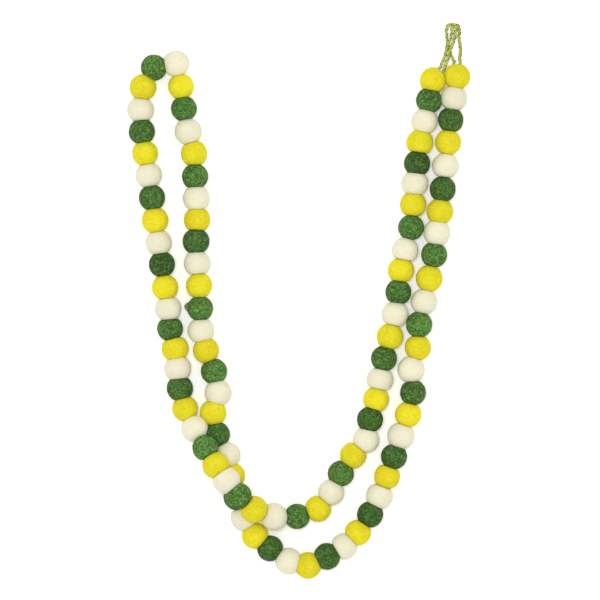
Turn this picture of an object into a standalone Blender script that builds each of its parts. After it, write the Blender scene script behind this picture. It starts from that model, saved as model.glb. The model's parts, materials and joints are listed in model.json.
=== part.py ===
"""Felt ball garland, laid out flat in two strands that cross at the lower left, with a loop at each end.

The balls are threaded tight, so each one is a sphere pressed flat where it meets its neighbours on the
string, a ball of the other strand, or the table. Balls are joined two by two by the string between them.
World frame: X to the right, Y away from the viewer, Z up, and the table is Z = 0.
"""

import math
import random

import bmesh
import bpy
import numpy as np
from mathutils import Matrix, Vector

MM = 0.001
COLLECTION_NAME = "felt_ball_garland"
SEED = 41

# The balls
BALL_COUNT = 97
BALL_R = 12.6 * MM
BALL_R_SPREAD = 0.25 * MM
UNEVEN = 0.2 * MM
TABLE_PRESS = 0.8 * MM
LOOP_SEAT_DEPTH = 0.9 * MM
GAP = 0.3 * MM
BALL_SEGMENTS = 10
BALL_RINGS = 7
SHARP_ANGLE = math.radians(40)
CUT_TOLERANCE = 0.0001 * MM
COLOUR_ORDER = ("yellow", "green", "cream")

# The string where it joins two balls, and how far it runs into each
STRING_R = 1.4 * MM
STRING_IN = 2.0 * MM
STRING_SIDES = 6

# The crossing: the numbers of the balls on the upper and the lower strand there, how close their centres
# come, and the most that a ball is higher than the next
UPPER_STRAND = range(23, 32)
LOWER_STRAND = range(62, 73)
CROSSING_REACH = 22.2 * MM
MOST_CLIMB = 10.0 * MM

# The hanging loops
CORD_D = 3.0 * MM
CORD_POINT_STEP = 3.0 * MM
CORD_BEVEL_RESOLUTION = 2

FELT_COLOURS = {
    "yellow": (0.84, 0.75, 0.045),
    "green": (0.055, 0.19, 0.03),
    "cream": (0.86, 0.81, 0.66),
}
CORD_COLOUR = (0.38, 0.42, 0.04)
WOOL_ROUGHNESS = 0.95

# Where the string runs on the table: the ball's number from the left-hand loop, and its place in mm
STATION_COLUMNS = ("ball", "x_mm", "y_mm")
STATIONS = (
    (1, 135, 234),
    (2, 131, 214),
    (4, 122, 172),
    (5, 119, 151),
    (7, 115, 110),
    (8, 113, 87),
    (9, 107, 64),
    (10, 103, 44),
    (12, 97, 0),
    (13, 92, -22),
    (14, 86, -44),
    (15, 82, -65),
    (16, 78, -85),
    (17, 72, -105),
    (18, 68, -125),
    (19, 55, -141),
    (20, 43, -159),
    (21, 33, -178),
    (22, 20, -194),
    (23, -1, -202),
    (25, -44, -194),
    (26, -59, -180),
    (28, -82, -150),
    (30, -103, -114),
    (31, -113, -94),
    (34, -123, -34),
    (35, -128, -14),
    (36, -130, 6),
    (37, -133, 27),
    (38, -136, 50),
    (40, -143, 94),
    (41, -146, 117),
    (43, -153, 161),
    (46, -155, 227),
    (47, -144, 247),
    (48, -122, 251),
    (49, -117, 228),
    (50, -114, 206),
    (51, -110, 183),
    (52, -104, 161),
    (53, -103, 138),
    (55, -101, 95),
    (56, -102, 73),
    (58, -99, 29),
    (59, -98, 6),
    (60, -97, -16),
    (61, -92, -36),
    (62, -84, -57),
    (63, -80, -78),
    (64, -85, -98),
    (65, -81, -120),
    (66, -71, -141),
    (67, -66, -161),
    (70, -43, -221),
    (71, -28, -234),
    (73, 10, -251),
    (74, 29, -242),
    (75, 46, -232),
    (76, 60, -218),
    (77, 72, -200),
    (79, 89, -162),
    (80, 96, -142),
    (82, 110, -100),
    (83, 115, -78),
    (84, 113, -55),
    (85, 120, -33),
    (86, 121, -10),
    (87, 126, 13),
    (88, 131, 36),
    (89, 136, 60),
    (90, 139, 82),
    (91, 142, 103),
    (94, 150, 172),
    (97, 159, 238),
)

# How each loop leaves its end ball: the way out in plan, and how far its two legs stand apart there
LEFT_LOOP_WAY = (0.62, 0.78)
LEFT_LEGS_APART = 4.4 * MM
RIGHT_LOOP_WAY = (0.01, 1.0)
RIGHT_LEGS_APART = 5.6 * MM
LEG_STRAIGHT = 2.2 * MM
LOOP_WAYS = {0: LEFT_LOOP_WAY, BALL_COUNT - 1: RIGHT_LOOP_WAY}

# The loops' routes in mm past their straight legs, out on the left leg and back on the right one
LEFT_LOOP_ROUTE = (
    (143.6, 251.0, 11.0),
    (145.9, 256.2, 8.6),
    (147.5, 261.0, 6.4),
    (148.8, 265.6, 5.4),
    (150.4, 270.4, 5.1),
    (152.3, 275.4, 4.8),
    (154.0, 280.4, 4.7),
    (154.5, 285.0, 4.8),
    (155.1, 288.6, 5.0),
    (156.3, 290.2, 5.1),
    (157.6, 288.8, 5.0),
    (158.0, 284.6, 4.8),
    (157.4, 279.6, 4.7),
    (155.8, 274.2, 4.8),
    (153.9, 269.2, 5.2),
    (152.1, 264.6, 5.8),
    (150.8, 259.9, 7.2),
    (149.2, 254.8, 9.4),
    (147.5, 249.8, 11.4),
)
RIGHT_LOOP_ROUTE = (
    (155.6, 254.2, 9.8),
    (154.6, 256.9, 6.4),
    (153.3, 260.0, 3.4),
    (152.1, 263.4, 1.9),
    (150.9, 267.4, 1.6),
    (149.9, 272.0, 1.6),
    (149.1, 277.5, 1.6),
    (148.8, 282.5, 1.6),
    (149.3, 287.0, 1.6),
    (151.2, 290.0, 1.6),
    (154.4, 290.8, 1.6),
    (157.9, 290.6, 1.6),
    (160.9, 288.7, 1.6),
    (162.0, 285.0, 1.6),
    (161.4, 280.0, 1.6),
    (161.7, 274.0, 1.6),
    (162.7, 269.5, 1.6),
    (162.8, 265.0, 1.6),
    (162.2, 260.6, 2.6),
    (161.9, 257.2, 6.0),
    (161.9, 254.2, 9.8),
)


def clear_scene():
    for thing in list(bpy.data.objects):
        bpy.data.objects.remove(thing, do_unlink=True)


def make_collection(name):
    made = bpy.data.collections.new(name)
    bpy.context.scene.collection.children.link(made)
    return made


def make_material(name, colour, roughness):
    made = bpy.data.materials.new(name)
    made.use_nodes = True
    shader = made.node_tree.nodes["Principled BSDF"]
    shader.inputs["Base Color"].default_value = (*colour, 1.0)
    shader.inputs["Roughness"].default_value = roughness
    shader.inputs["Metallic"].default_value = 0.0
    made.diffuse_color = (*colour, 1.0)
    return made


def smooth_curve(knots, values):
    """A natural cubic spline through values at knots, as a function of the knot's scale."""
    knots = np.asarray(knots, dtype=float)
    values = np.asarray(values, dtype=float)
    steps = np.diff(knots)
    count = len(knots)
    matrix = np.eye(count)
    right = np.zeros_like(values)
    for i in range(1, count - 1):
        matrix[i, i - 1 : i + 2] = steps[i - 1], 2 * (steps[i - 1] + steps[i]), steps[i]
        slope_after = (values[i + 1] - values[i]) / steps[i]
        slope_before = (values[i] - values[i - 1]) / steps[i - 1]
        right[i] = 6 * (slope_after - slope_before)
    bend = np.linalg.solve(matrix, right)

    def at(where):
        i = int(np.clip(np.searchsorted(knots, where, side="right") - 1, 0, count - 2))
        before = (knots[i + 1] - where) / steps[i]
        after = (where - knots[i]) / steps[i]
        straight = before * values[i] + after * values[i + 1]
        curved = (before**3 - before) * bend[i] + (after**3 - after) * bend[i + 1]
        return straight + curved * steps[i] ** 2 / 6

    return at


def ball_radii():
    spread = random.Random(SEED)
    return [BALL_R + spread.uniform(-BALL_R_SPREAD, BALL_R_SPREAD) for _ in range(BALL_COUNT)]


def ball_centres(radii):
    """Each ball's centre: along the stations in plan, and up on the lower strand where the strands cross."""
    column = {name: i for i, name in enumerate(STATION_COLUMNS)}
    numbers = [row[column["ball"]] for row in STATIONS]
    places = [(row[column["x_mm"]] * MM, row[column["y_mm"]] * MM) for row in STATIONS]
    route = smooth_curve(numbers, places)
    plan = [route(number) for number in range(1, BALL_COUNT + 1)]
    heights = [radius - TABLE_PRESS for radius in radii]
    upper = [number - 1 for number in UPPER_STRAND]
    for i in upper:
        for j in (number - 1 for number in LOWER_STRAND):
            apart = math.dist(plan[i], plan[j])
            if apart < CROSSING_REACH:
                heights[i] = max(heights[i], heights[j] + math.sqrt(CROSSING_REACH**2 - apart**2))
    for _ in upper:
        for i in upper:
            heights[i] = max(heights[i], heights[i - 1] - MOST_CLIMB, heights[i + 1] - MOST_CLIMB)
    return [Vector((*spot, height)) for spot, height in zip(plan, heights)]


def loop_way(i):
    """The level way in which a loop leaves end ball i."""
    return Vector((*LOOP_WAYS[i], 0.0)).normalized()


def string_direction(centres, i):
    """The way the string runs through ball i."""
    return (centres[min(i + 1, BALL_COUNT - 1)] - centres[max(i - 1, 0)]).normalized()


def seam_distance(i, j, centres, radii):
    """How far from ball i's centre its seam with ball j lies."""
    apart = (centres[j] - centres[i]).length
    return (apart**2 + radii[i] ** 2 - radii[j] ** 2) / (2 * apart)


def contact_planes(i, centres, radii):
    """Where ball i is pressed flat: (point on the plane, outward normal), from the ball's own centre."""
    planes = []
    reach = 2 * (BALL_R + BALL_R_SPREAD + UNEVEN)
    for j, other in enumerate(centres):
        line = other - centres[i]
        if j == i or line.length > reach:
            continue
        way = line.normalized()
        planes.append((way * (seam_distance(i, j, centres, radii) - GAP / 2), way))
    planes.append((Vector((0, 0, -centres[i].z)), Vector((0, 0, -1))))
    if i in LOOP_WAYS:
        way = loop_way(i)
        planes.append((way * (radii[i] - LOOP_SEAT_DEPTH), way))
    return planes


def ball_mesh(name, i, centres, radii):
    """A low, slightly uneven sphere, its poles on the string, cut flat at each contact."""
    along = string_direction(centres, i)
    side = along.cross(Vector((0, 0, -1))).normalized()
    turned = Matrix((side, along.cross(side), along)).transposed()
    uneven = random.Random(SEED + i)
    shape = bmesh.new()
    bmesh.ops.create_uvsphere(shape, u_segments=BALL_SEGMENTS, v_segments=BALL_RINGS, radius=radii[i])
    for vertex in shape.verts:
        vertex.co *= 1 + uneven.uniform(-UNEVEN, UNEVEN) / BALL_R
    shape.transform(turned.to_4x4())
    for point, normal in contact_planes(i, centres, radii):
        cut = bmesh.ops.bisect_plane(
            shape,
            geom=shape.verts[:] + shape.edges[:] + shape.faces[:],
            dist=CUT_TOLERANCE,
            plane_co=point,
            plane_no=normal,
            clear_outer=True,
        )
        rim = [edge for edge in cut["geom_cut"] if isinstance(edge, bmesh.types.BMEdge)]
        if rim:
            bmesh.ops.edgeloop_fill(shape, edges=rim)
    bmesh.ops.recalc_face_normals(shape, faces=shape.faces[:])
    mesh = bpy.data.meshes.new(name)
    shape.to_mesh(mesh)
    shape.free()
    mesh.shade_smooth()
    mesh.set_sharp_from_angle(angle=SHARP_ANGLE)
    return mesh


def string_mesh(name, i, centres, radii):
    """The short piece of string from ball i into the next one, from ball i's centre."""
    line = centres[i + 1] - centres[i]
    shape = bmesh.new()
    bmesh.ops.create_cone(
        shape,
        cap_ends=True,
        segments=STRING_SIDES,
        radius1=STRING_R,
        radius2=STRING_R,
        depth=GAP + 2 * STRING_IN,
    )
    turned = line.to_track_quat("Z", "Y").to_matrix().to_4x4()
    middle = line.normalized() * seam_distance(i, i + 1, centres, radii)
    shape.transform(Matrix.Translation(middle) @ turned)
    mesh = bpy.data.meshes.new(name)
    shape.to_mesh(mesh)
    shape.free()
    return mesh


def place(name, mesh, centre, parent, collection):
    made = bpy.data.objects.new(name, mesh)
    collection.objects.link(made)
    made.parent = parent
    made.location = centre
    return made


def unite(target, other, name):
    other.hide_render = True
    other.display_type = "WIRE"
    union = target.modifiers.new(name, "BOOLEAN")
    union.operation = "UNION"
    union.solver = "EXACT"
    union.object = other


def make_balls(centres, radii, parent, collection, shapes, felts):
    """One object for two neighbouring balls on their string, and one for the last ball."""
    for i in range(0, BALL_COUNT, 2):
        members = [k for k in (i, i + 1) if k < BALL_COUNT]
        name = "ball_" + "_".join(f"{k + 1:02d}" for k in members)
        meshes = [ball_mesh(f"felt_ball_{k + 1:02d}", k, centres, radii) for k in members]
        for mesh in meshes:
            for k in members:
                mesh.materials.append(felts[COLOUR_ORDER[k % len(COLOUR_ORDER)]])
        made = place(name, meshes[0], centres[i], parent, collection)
        if len(members) == 1:
            continue
        string = string_mesh(f"string_after_{i + 1:02d}", i, centres, radii)
        unite(made, place(string.name, string, centres[i], parent, shapes), "string")
        for face in meshes[1].polygons:
            face.material_index = 1
        unite(made, place(meshes[1].name, meshes[1], centres[i + 1], parent, shapes), "next ball")


def loop_route(i, apart, free_mm, centres, radii):
    """Out of ball i's seat on the loop's left leg, along its free points, and back on its right leg."""
    way = loop_way(i)
    left = Vector((0, 0, 1)).cross(way)
    seat = centres[i] + way * (radii[i] - LOOP_SEAT_DEPTH + GAP)
    legs = [(seat + left * sign * apart / 2, way * LEG_STRAIGHT) for sign in (1, -1)]
    (out, out_run), (back, back_run) = legs
    free = [Vector(point) * MM for point in free_mm]
    return [out, out + out_run, *free, back + back_run, back]


def make_loop(name, route, parent, collection, material):
    """A tube along a smooth curve through the route, with a point every few millimetres."""
    route = np.array(route)
    runs = np.concatenate([[0.0], np.cumsum(np.linalg.norm(np.diff(route, axis=0), axis=1))])
    at = smooth_curve(runs, route)
    count = round(runs[-1] / CORD_POINT_STEP) + 1
    curve = bpy.data.curves.new(name, "CURVE")
    curve.dimensions = "3D"
    curve.bevel_depth = CORD_D / 2
    curve.bevel_resolution = CORD_BEVEL_RESOLUTION
    curve.use_fill_caps = True
    line = curve.splines.new("POLY")
    line.points.add(count - 1)
    for point, where in zip(line.points, np.linspace(0.0, runs[-1], count)):
        point.co = (*at(where), 1.0)
    curve.materials.append(material)
    made = bpy.data.objects.new(name, curve)
    collection.objects.link(made)
    made.parent = parent


def main():
    clear_scene()
    garland = make_collection(COLLECTION_NAME)
    shapes = make_collection("joined_shapes")
    origin = bpy.data.objects.new("garland_origin", None)
    garland.objects.link(origin)
    felts = {
        name: make_material(f"{name}_felt", colour, WOOL_ROUGHNESS) for name, colour in FELT_COLOURS.items()
    }
    cord = make_material("chartreuse_yarn", CORD_COLOUR, WOOL_ROUGHNESS)
    radii = ball_radii()
    centres = ball_centres(radii)
    make_balls(centres, radii, origin, garland, shapes, felts)
    left = loop_route(0, LEFT_LEGS_APART, LEFT_LOOP_ROUTE, centres, radii)
    right = loop_route(BALL_COUNT - 1, RIGHT_LEGS_APART, RIGHT_LOOP_ROUTE, centres, radii)
    make_loop("loop_cord_left", left, origin, garland, cord)
    make_loop("loop_cord_right", right, origin, garland, cord)


main()
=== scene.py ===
"""Felt ball garland: felted balls, their loose wool and two crocheted hanging loops, on the solid model.

It is laid out as an add-on and is run as a script. World frame: X to the right, Y away from the viewer, Z up,
in metres. The garland lies on the table, Z = 0, and is seen from straight above.
"""

import json
import math
import random

import bmesh
import bpy
import numpy as np
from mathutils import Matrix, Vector, noise

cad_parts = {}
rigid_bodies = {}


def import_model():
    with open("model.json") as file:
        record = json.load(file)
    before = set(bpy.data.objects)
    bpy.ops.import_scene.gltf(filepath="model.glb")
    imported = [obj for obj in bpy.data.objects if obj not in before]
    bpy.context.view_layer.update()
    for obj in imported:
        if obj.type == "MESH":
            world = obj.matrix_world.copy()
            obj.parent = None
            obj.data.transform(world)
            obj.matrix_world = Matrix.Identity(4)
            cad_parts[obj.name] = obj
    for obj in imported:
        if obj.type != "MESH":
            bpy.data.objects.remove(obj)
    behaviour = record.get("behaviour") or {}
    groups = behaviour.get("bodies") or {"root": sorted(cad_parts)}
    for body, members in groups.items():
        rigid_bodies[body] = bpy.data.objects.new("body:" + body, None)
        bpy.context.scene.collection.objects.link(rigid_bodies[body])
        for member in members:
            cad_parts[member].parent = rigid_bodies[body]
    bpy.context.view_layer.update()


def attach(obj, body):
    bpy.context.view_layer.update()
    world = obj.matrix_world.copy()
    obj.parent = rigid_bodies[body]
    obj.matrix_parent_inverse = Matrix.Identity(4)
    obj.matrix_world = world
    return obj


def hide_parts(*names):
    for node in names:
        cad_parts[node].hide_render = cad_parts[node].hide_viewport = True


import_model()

bl_info = {
    "name": "Felt Ball Garland",
    "version": (1, 0, 0),
    "blender": (4, 5, 0),
    "location": "3D View > Sidebar > Garland",
    "description": "Makes a garland of felt balls, its crocheted hanging loops and a plain studio",
    "category": "Add Mesh",
}

MM = 0.001

# The balls, as the solids have them
SEED = 41
BALL_COUNT = 97
BALL_R = 12.6 * MM
BALL_R_SPREAD = 0.25 * MM
TABLE_PRESS = 0.8 * MM
LOOP_SEAT_DEPTH = 0.9 * MM
LOOP_DENT = 0.5 * MM
SEAM_OVERLAP = 0.1 * MM
GAP = 0.3 * MM
COLOUR_ORDER = ("yellow", "green", "cream")

# The crossing: the balls of the upper and the lower strand there, how close their centres come, and the
# most that a ball is higher than the next
UPPER_STRAND = range(23, 32)
LOWER_STRAND = range(62, 73)
CROSSING_REACH = 22.2 * MM
MOST_CLIMB = 10.0 * MM

# Where the string runs on the table: the ball's number from the left-hand loop, and its place in mm
STATION_COLUMNS = ("ball", "x_mm", "y_mm")
STATIONS = (
    (1, 135, 234),
    (2, 131, 214),
    (4, 122, 172),
    (5, 119, 151),
    (7, 115, 110),
    (8, 113, 87),
    (9, 107, 64),
    (10, 103, 44),
    (12, 97, 0),
    (13, 92, -22),
    (14, 86, -44),
    (15, 82, -65),
    (16, 78, -85),
    (17, 72, -105),
    (18, 68, -125),
    (19, 55, -141),
    (20, 43, -159),
    (21, 33, -178),
    (22, 20, -194),
    (23, -1, -202),
    (25, -44, -194),
    (26, -59, -180),
    (28, -82, -150),
    (30, -103, -114),
    (31, -113, -94),
    (34, -123, -34),
    (35, -128, -14),
    (36, -130, 6),
    (37, -133, 27),
    (38, -136, 50),
    (40, -143, 94),
    (41, -146, 117),
    (43, -153, 161),
    (46, -155, 227),
    (47, -144, 247),
    (48, -122, 251),
    (49, -117, 228),
    (50, -114, 206),
    (51, -110, 183),
    (52, -104, 161),
    (53, -103, 138),
    (55, -101, 95),
    (56, -102, 73),
    (58, -99, 29),
    (59, -98, 6),
    (60, -97, -16),
    (61, -92, -36),
    (62, -84, -57),
    (63, -80, -78),
    (64, -85, -98),
    (65, -81, -120),
    (66, -71, -141),
    (67, -66, -161),
    (70, -43, -221),
    (71, -28, -234),
    (73, 10, -251),
    (74, 29, -242),
    (75, 46, -232),
    (76, 60, -218),
    (77, 72, -200),
    (79, 89, -162),
    (80, 96, -142),
    (82, 110, -100),
    (83, 115, -78),
    (84, 113, -55),
    (85, 120, -33),
    (86, 121, -10),
    (87, 126, 13),
    (88, 131, 36),
    (89, 136, 60),
    (90, 139, 82),
    (91, 142, 103),
    (94, 150, 172),
    (97, 159, 238),
)

# How each loop leaves its end ball: the way out in plan, and how far its two legs stand apart there
LEFT_LOOP_WAY = (0.62, 0.78)
LEFT_LEGS_APART = 4.4 * MM
RIGHT_LOOP_WAY = (0.01, 1.0)
RIGHT_LEGS_APART = 5.6 * MM
LEG_STRAIGHT = 2.2 * MM
LOOP_WAYS = {0: LEFT_LOOP_WAY, BALL_COUNT - 1: RIGHT_LOOP_WAY}

# The loops' routes in mm past their straight legs, out on the left leg and back on the right one
LEFT_LOOP_ROUTE = (
    (143.6, 251.0, 11.0),
    (145.9, 256.2, 8.6),
    (147.5, 261.0, 6.4),
    (148.8, 265.6, 5.4),
    (150.4, 270.4, 5.1),
    (152.3, 275.4, 4.8),
    (154.0, 280.4, 4.7),
    (154.5, 285.0, 4.8),
    (155.1, 288.6, 5.0),
    (156.3, 290.2, 5.1),
    (157.6, 288.8, 5.0),
    (158.0, 284.6, 4.8),
    (157.4, 279.6, 4.7),
    (155.8, 274.2, 4.8),
    (153.9, 269.2, 5.2),
    (152.1, 264.6, 5.8),
    (150.8, 259.9, 7.2),
    (149.2, 254.8, 9.4),
    (147.5, 249.8, 11.4),
)
RIGHT_LOOP_ROUTE = (
    (155.6, 254.2, 9.8),
    (154.6, 256.9, 6.4),
    (153.3, 260.0, 3.4),
    (152.1, 263.4, 1.9),
    (150.9, 267.4, 1.6),
    (149.9, 272.0, 1.6),
    (149.1, 277.5, 1.6),
    (148.8, 282.5, 1.6),
    (149.3, 287.0, 1.6),
    (151.2, 290.0, 1.6),
    (154.4, 290.8, 1.6),
    (157.9, 290.6, 1.6),
    (160.9, 288.7, 1.6),
    (162.0, 285.0, 1.6),
    (161.4, 280.0, 1.6),
    (161.7, 274.0, 1.6),
    (162.7, 269.5, 1.6),
    (162.8, 265.0, 1.6),
    (162.2, 260.6, 2.6),
    (161.9, 257.2, 6.0),
    (161.9, 254.2, 9.8),
)
ROUTE_STEP = 1.0 * MM
INTO_BALL = 1.2 * MM

# A crochet stitch: how many points and sides its yarn has, and where its middle lies, how far it reaches
# each way and how wide its tip is, as shares of the stitch
STITCH_POINTS = 18
YARN_SIDES = 7
STITCH_MIDDLE = 0.6
STITCH_HALF_LENGTH = 0.75
STITCH_SWELL = 0.78
# How much the stitches differ: in size, as a share, and in how they lean, in radians
STITCH_UNEVEN = 0.14
STITCH_LEAN = 0.22

# How much fuller the felt is than the solids
FELT_FULLNESS = {"yellow": 0.6 * MM, "green": 0.5 * MM, "cream": 0.85 * MM}

# How a ball is shaped: most presses on one ball, where an unused press lies, and how much a seam is dished
PRESSES = 6
FAR_PRESS = (0.0, 0.0, 1.0)
BALL_FINENESS = 5
SEAM_DISH = 34.0
DISH_SEED = 7
BATCH_SEED = 12
# Seams that are plainly dished: the number of the ball before, and how far it swells into the next one
DISHED_SEAMS = {78: -0.9, 79: -1.0, 80: -0.6, 74: 0.9, 27: -0.8}

# From how deep, and to how deep, felt pressed into a seam is painted darker: painted shade in the crease
# between balls
SEAM_SHADE_FROM = 0.05 * MM
SEAM_SHADE_FULL = 0.5 * MM

# The nub of loose felt on the side of one ball
NUB_BALL = 59
NUB_PLACE = (-108.9 * MM, 7.6 * MM, 12.0 * MM)
NUB_HALF = (4.6 * MM, 4.5 * MM, 2.6 * MM)
NUB_FINENESS = 4
NUB_LUMP = 0.20
NUB_LUMP_WIDTH = 3.5 * MM

# The fibres' shapes: how far the middle swings aside and rises, as shares of the length, and the tilts
FIBRE_POINTS = 2
FIBRE_SIDES = 3
FIBRE_BENDS = ((0.28, 0.10), (-0.24, 0.13), (0.10, 0.17))
FIBRE_ROOT = -0.03
FIBRE_TILT = (-0.06, 0.22)
FIBRE_SCALE = (0.55, 1.25)
DARK_SHARE = 0.35

# How low yarn and fibres may hang
TABLE_CLEAR = 0.1 * MM

# The picture: how wide the view is, and where its middle lies on the table
VIEW_WIDTH = 0.6
VIEW_MIDDLE = (2.0 * MM, 14.5 * MM)
CAMERA_HEIGHT = 4.0
SENSOR = 36.0

FLOAT = "NodeSocketFloat"
WHOLE = "NodeSocketInt"
VECTOR = "NodeSocketVector"
MATERIAL = "NodeSocketMaterial"


# Sockets and node trees


class Wire:
    """An output socket. A sum written on it adds the node that works the sum out."""

    def __init__(self, tree, socket):
        self.tree = tree
        self.socket = socket

    def work_out(self, operation, *terms):
        kinds = {term.socket.type for term in terms if isinstance(term, Wire)}
        vectors = kinds & {"VECTOR", "RGBA"}
        node = "ShaderNodeVectorMath" if vectors else "ShaderNodeMath"
        return self.tree.add(node, {"operation": operation}, dict(enumerate(terms)))

    def __add__(self, other):
        return self.work_out("ADD", self, other)

    def __radd__(self, other):
        return self.work_out("ADD", other, self)

    def __sub__(self, other):
        return self.work_out("SUBTRACT", self, other)

    def __rsub__(self, other):
        return self.work_out("SUBTRACT", other, self)

    def __mul__(self, other):
        return self.work_out("MULTIPLY", self, other)

    def __rmul__(self, other):
        return self.work_out("MULTIPLY", other, self)

    def __truediv__(self, other):
        return self.work_out("DIVIDE", self, other)

    def __neg__(self):
        return self.work_out("MULTIPLY", self, -1.0)

    def __abs__(self):
        return self.work_out("ABSOLUTE", self)

    def beside(self, name):
        """Another output of the same node."""
        return Wire(self.tree, self.tree.find(self.socket.node.outputs, name))


class Tree:
    """A shader or Geometry Nodes tree that one method adds nodes to."""

    def __init__(self, nodes):
        self.nodes = nodes

    @staticmethod
    def find(sockets, key):
        if isinstance(key, int):
            return sockets[key]
        for socket in sockets:
            if socket.enabled and key in (socket.name, socket.identifier):
                return socket
        raise KeyError(f"no socket named {key}")

    def feed(self, sockets, key, value):
        socket = self.find(sockets, key)
        if isinstance(value, Wire):
            self.nodes.links.new(value.socket, socket)
        elif isinstance(value, list):
            for wire in value:
                self.nodes.links.new(wire.socket, socket)
        elif socket.type == "RGBA" and len(value) == 3:
            socket.default_value = (*value, 1.0)
        elif socket.type == "VECTOR" and isinstance(value, (int, float)):
            socket.default_value = (value, value, value)
        else:
            socket.default_value = value

    def add(self, kind, settings=None, sockets=None, output=None):
        node = self.nodes.nodes.new(kind)
        for name, value in (settings or {}).items():
            setattr(node, name, value)
        for key, value in (sockets or {}).items():
            self.feed(node.inputs, key, value)
        if output is not None:
            return Wire(self, self.find(node.outputs, output))
        shown = [socket for socket in node.outputs if socket.enabled]
        return Wire(self, shown[0]) if shown else None

    def attribute(self, name):
        return self.add("ShaderNodeAttribute", {"attribute_name": name}, output="Fac")

    def noise(self, place, width, detail=2.0, roughness=0.5, output=0):
        """Noise whose lumps are about that wide."""
        sockets = {"Vector": place, "Scale": 1.0 / width, "Detail": detail, "Roughness": roughness}
        wire = self.add("ShaderNodeTexNoise", {"noise_dimensions": "3D"}, sockets)
        return Wire(self, wire.socket.node.outputs[output])

    def between(self, value, low, high, new_low=0.0, new_high=1.0):
        """The value's way from low to high, clamped and smoothed, on a new scale."""
        sockets = {"Value": value, "From Min": low, "From Max": high, "To Min": new_low, "To Max": new_high}
        return self.add("ShaderNodeMapRange", {"interpolation_type": "SMOOTHSTEP"}, sockets)

    def keep(self, geometry, name, value, domain="POINT"):
        """The geometry with a number kept on it by name."""
        sockets = {"Geometry": geometry, "Name": name, "Value": value}
        return self.add("GeometryNodeStoreNamedAttribute", {"data_type": "FLOAT", "domain": domain}, sockets)

    def kept(self, name):
        """A number that was kept by name."""
        return self.add("GeometryNodeInputNamedAttribute", {"data_type": "FLOAT"}, {"Name": name})

    def mix(self, share, first, second):
        settings = {"data_type": "RGBA"}
        sockets = {"Factor_Float": share, "A_Color": first, "B_Color": second}
        return self.add("ShaderNodeMix", settings, sockets)


def new_shape_tree(name, inputs):
    """An empty Geometry Nodes tree with these named inputs, each (name, kind, default), and their wires."""
    group = bpy.data.node_groups.new(name, "GeometryNodeTree")
    group.interface.new_socket("Geometry", in_out="INPUT", socket_type="NodeSocketGeometry")
    for label, kind, default in inputs:
        socket = group.interface.new_socket(label, in_out="INPUT", socket_type=kind)
        if default is not None:
            socket.default_value = default
    group.interface.new_socket("Geometry", in_out="OUTPUT", socket_type="NodeSocketGeometry")
    tree = Tree(group)
    start = tree.add("NodeGroupInput")
    return tree, {label: start.beside(label) for label in ["Geometry", *(row[0] for row in inputs)]}


def end_shape_tree(tree, geometry, materials):
    """Realizes the shape and sets its materials, each (material, the faces that it goes on or None)."""
    geometry = tree.add("GeometryNodeSetShadeSmooth", {}, {"Geometry": geometry})
    geometry = tree.add("GeometryNodeRealizeInstances", {}, {"Geometry": geometry})
    for material, where in materials:
        sockets = {"Geometry": geometry, "Material": material}
        if where is not None:
            sockets["Selection"] = where
        geometry = tree.add("GeometryNodeSetMaterial", {}, sockets)
    tree.add("NodeGroupOutput", {}, {"Geometry": geometry})
    return tree.nodes


def maker(name, group, values, mesh=None):
    """An object whose modifier makes a piece: values are the tree's inputs by name."""
    made = bpy.data.objects.new(f"{name}_maker", mesh or bpy.data.meshes.new(name))
    bpy.context.scene.collection.objects.link(made)
    modifier = made.modifiers.new(group.name, "NODES")
    modifier.node_group = group
    rows = [row for row in group.interface.items_tree if row.in_out == "INPUT"]
    identifiers = {row.name: row.identifier for row in rows}
    for label, value in values.items():
        modifier[identifiers[label]] = value
    return made


def plain_meshes(makers):
    """The mesh that each maker makes. The makers are removed."""
    graph = bpy.context.evaluated_depsgraph_get()
    meshes = [bpy.data.meshes.new_from_object(made.evaluated_get(graph), depsgraph=graph) for made in makers]
    for made in makers:
        made.modifiers.clear()
        bpy.data.objects.remove(made, do_unlink=True)
    for mesh in meshes:
        if not mesh.polygons:
            raise RuntimeError(f"nothing was made for {mesh.name}")
    return meshes


def piece(name, mesh, nodes=()):
    """A finished piece that rides on the garland and hides the solids that it stands for."""
    mesh.name = name
    made = bpy.data.objects.new(name, mesh)
    bpy.context.scene.collection.objects.link(made)
    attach(made, "root")
    if nodes:
        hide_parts(*nodes)
    return made


# Where the string, the balls and the loops lie, as in the solids


def smooth_curve(knots, values):
    """A natural cubic spline through values at knots, as a function of the knot's scale."""
    knots = np.asarray(knots, dtype=float)
    values = np.asarray(values, dtype=float)
    steps = np.diff(knots)
    count = len(knots)
    matrix = np.eye(count)
    right = np.zeros_like(values)
    for i in range(1, count - 1):
        matrix[i, i - 1 : i + 2] = steps[i - 1], 2 * (steps[i - 1] + steps[i]), steps[i]
        slope_after = (values[i + 1] - values[i]) / steps[i]
        slope_before = (values[i] - values[i - 1]) / steps[i - 1]
        right[i] = 6 * (slope_after - slope_before)
    bend = np.linalg.solve(matrix, right)

    def at(where):
        i = int(np.clip(np.searchsorted(knots, where, side="right") - 1, 0, count - 2))
        before = (knots[i + 1] - where) / steps[i]
        after = (where - knots[i]) / steps[i]
        straight = before * values[i] + after * values[i + 1]
        curved = (before**3 - before) * bend[i] + (after**3 - after) * bend[i + 1]
        return straight + curved * steps[i] ** 2 / 6

    return at


def ball_radii():
    spread = random.Random(SEED)
    return [BALL_R + spread.uniform(-BALL_R_SPREAD, BALL_R_SPREAD) for _ in range(BALL_COUNT)]


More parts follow.
